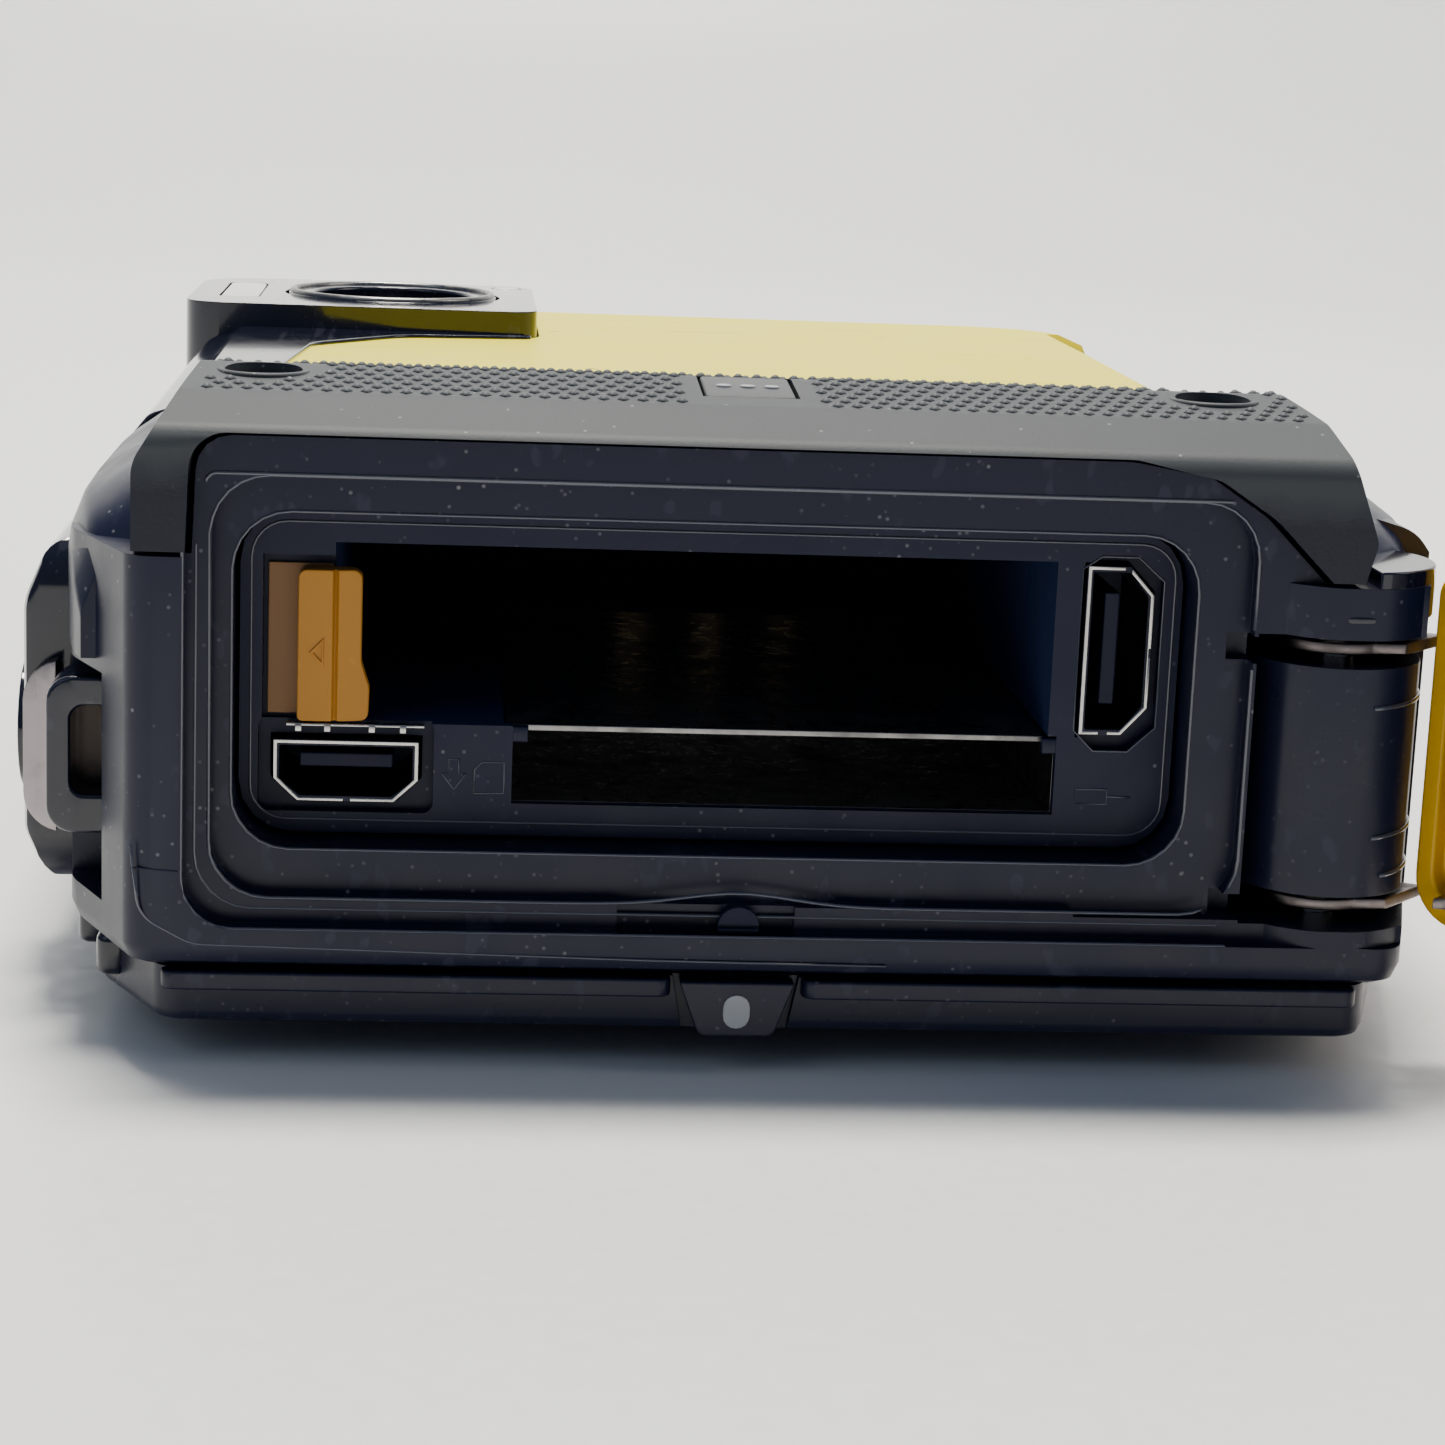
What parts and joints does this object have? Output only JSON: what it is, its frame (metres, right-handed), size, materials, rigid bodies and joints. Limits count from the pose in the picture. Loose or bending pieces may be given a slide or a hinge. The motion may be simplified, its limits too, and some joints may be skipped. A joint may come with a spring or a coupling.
{
  "type": "rugged compact digital camera",
  "caption": "Rugged waterproof compact camera lying on its screen, yellow front, textured grip, end door open on a port and battery bay.",
  "frame": {"origin": "on the face of the screen window, on which the camera rests, midway across the body's width and midway between the door rim and its mirror on the length", "axes": "+Z from the screen window up to the front, +Y along the body from the side door to the lens end, +X from the top deck to the tripod side"},
  "size_m": [0.102, 0.1378, 0.0306],
  "materials": {
    "body_black": "semi-gloss moulded",
    "gloss_black": "polished",
    "grip_grey": "fine pyramid texture",
    "painted_front": "gloss yellow paint",
    "painted_door": "gloss yellow paint",
    "orange_plastic": "satin",
    "seal_rubber": "dull",
    "steel": "bright",
    "polished_steel": "polished",
    "brass": "plain",
    "window": "polished",
    "clear_window": "polished",
    "panel": "dark display",
    "board": "circuit board",
    "mark_grey": "printed",
    "pad_grey": "smooth"
  },
  "bodies": {
    "camera": {"rear_cover": "body_black", "index_tab": "body_black", "index_mark": "mark_grey", "screen_window": "window", "screen_panel": "panel", "key_board": "board", "body_shell": "body_black", "top_deck": "gloss_black", "shutter_ring": "polished_steel", "strap_band": "polished_steel", "speaker_grille": "body_black", "tripod_bush": "brass", "end_frame": "body_black", "strap_eyelet": "gloss_black", "bay_tray": "body_black", "card_socket": "steel", "battery_contact_1": "brass", "battery_contact_2": "brass", "battery_contact_3": "brass", "hdmi_shell": "steel", "usb_shell": "steel", "hdmi_tongue": "body_black", "usb_tongue": "body_black", "latch_strip": "orange_plastic", "grip_cover": "grip_grey", "grip_screw_1": "body_black", "grip_screw_2": "body_black", "grip_pad": "pad_grey", "front_cover": "painted_front", "lens_housing": "gloss_black", "lens_ring": "gloss_black", "lens_window": "window", "front_element": "clear_window", "flash_window": "clear_window", "prism_block": "body_black", "lens_tube": "body_black", "image_sensor": "board", "main_board": "board", "flash_capacitor": "gloss_black", "hinge_barrel": "body_black", "hinge_pin": "steel"},
    "door": {"door_shell": "painted_door", "door_liner": "body_black", "door_seal": "seal_rubber", "hinge_arm_1": "steel", "hinge_arm_2": "steel"},
    "door_lock": {"lock_knob": "body_black", "lock_cam": "steel"},
    "door_lock_release": {"lock_release": "orange_plastic"},
    "battery_catch": {"battery_latch": "orange_plastic"},
    "shutter": {"shutter_button": "gloss_black"},
    "power": {"power_button": "gloss_black"},
    "zoom": {"zoom_rocker": "body_black"},
    "movie": {"movie_button": "body_black"},
    "playback": {"playback_button": "body_black"},
    "mode": {"mode_button": "body_black"},
    "menu": {"menu_button": "body_black"},
    "delete": {"delete_button": "body_black"},
    "selector": {"selector_ring": "body_black"},
    "ok": {"ok_button": "body_black"}
  },
  "joints": [
    {"name": "door_hinge", "type": "hinge", "parent": "camera", "child": "door", "pos_m": [0.0255, -0.051, 0.014], "axis": [0, 0, 1], "range_deg": [-137, 6]},
    {"name": "lock_turn", "type": "hinge", "parent": "door", "child": "door_lock", "pos_m": [0.0488, -0.06589, 0.0139], "axis": [0.682, 0.7314, 0], "range_deg": [0, 90]},
    {"name": "lock_release_press", "type": "slide", "parent": "door_lock", "child": "door_lock_release", "axis": [-0.682, -0.7314, 0], "range_m": [0, 0.0004], "stiffness_N_per_m": 700},
    {"name": "battery_latch_slide", "type": "slide", "parent": "camera", "child": "battery_catch", "axis": [-1, 0, 0], "range_m": [0, 0.0014], "stiffness_N_per_m": 400},
    {"name": "shutter_press", "type": "slide", "parent": "camera", "child": "shutter", "axis": [1, 0, 0], "range_m": [0, 0.0006], "stiffness_N_per_m": 700},
    {"name": "power_press", "type": "slide", "parent": "camera", "child": "power", "axis": [1, 0, 0], "range_m": [0, 0.0004], "stiffness_N_per_m": 700},
    {"name": "zoom_rock", "type": "hinge", "parent": "camera", "child": "zoom", "pos_m": [-0.0288, -0.0375, 0.0048], "axis": [1, 0, 0], "range_deg": [-2.2, 2.2], "stiffness_Nm_per_rad": 0.02},
    {"name": "movie_press", "type": "slide", "parent": "camera", "child": "movie", "axis": [0, 0, 1], "range_m": [0, 0.0004], "stiffness_N_per_m": 700},
    {"name": "playback_press", "type": "slide", "parent": "camera", "child": "playback", "axis": [0, 0, 1], "range_m": [0, 0.0004], "stiffness_N_per_m": 700},
    {"name": "mode_press", "type": "slide", "parent": "camera", "child": "mode", "axis": [0, 0, 1], "range_m": [0, 0.0004], "stiffness_N_per_m": 700},
    {"name": "menu_press", "type": "slide", "parent": "camera", "child": "menu", "axis": [0, 0, 1], "range_m": [0, 0.0004], "stiffness_N_per_m": 700},
    {"name": "delete_press", "type": "slide", "parent": "camera", "child": "delete", "axis": [0, 0, 1], "range_m": [0, 0.0004], "stiffness_N_per_m": 700},
    {"name": "selector_press", "type": "slide", "parent": "camera", "child": "selector", "axis": [0, 0, 1], "range_m": [0, 0.0004], "stiffness_N_per_m": 700},
    {"name": "ok_press", "type": "slide", "parent": "camera", "child": "ok", "axis": [0, 0, 1], "range_m": [0, 0.0004], "stiffness_N_per_m": 700}
  ]
}
